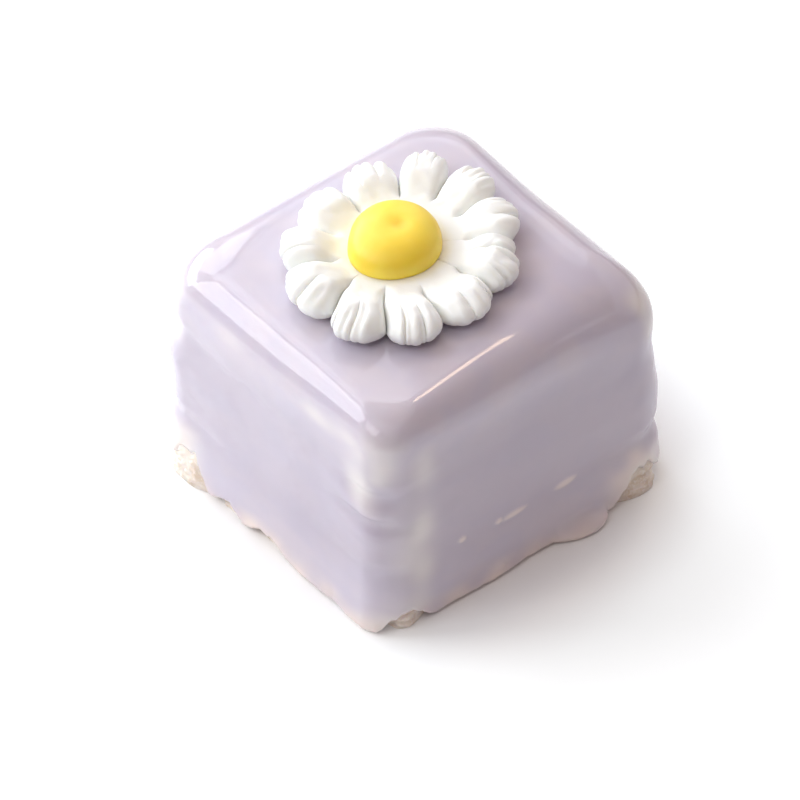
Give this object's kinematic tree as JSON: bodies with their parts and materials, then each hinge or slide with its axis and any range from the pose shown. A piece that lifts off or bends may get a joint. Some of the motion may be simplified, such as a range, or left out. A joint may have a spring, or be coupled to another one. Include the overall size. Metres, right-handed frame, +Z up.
{
  "type": "petit four",
  "caption": "Bite-sized square cake under poured lavender icing, with a white sugar daisy on top, standing on its flat base.",
  "frame": {"origin": "on the surface that the cake stands on, below the middle of its bounding box", "axes": "+Z up, +X and +Y square to the two pairs of sides; the sides seen in the picture face -Y and +X"},
  "size_m": [0.0413, 0.0415, 0.0332],
  "materials": {
    "sponge_cake": "matt, open-crumbed pale sponge cake",
    "poured_icing": "glossy, slightly translucent pale lavender poured fondant",
    "sugar_petals": "matt white moulded sugar",
    "sugar_eye": "satin yellow sugar"
  },
  "bodies": {
    "root": {"sponge": "sponge_cake", "icing": "poured_icing", "daisy_petals": "sugar_petals", "daisy_eye": "sugar_eye"}
  },
  "joints": []
}
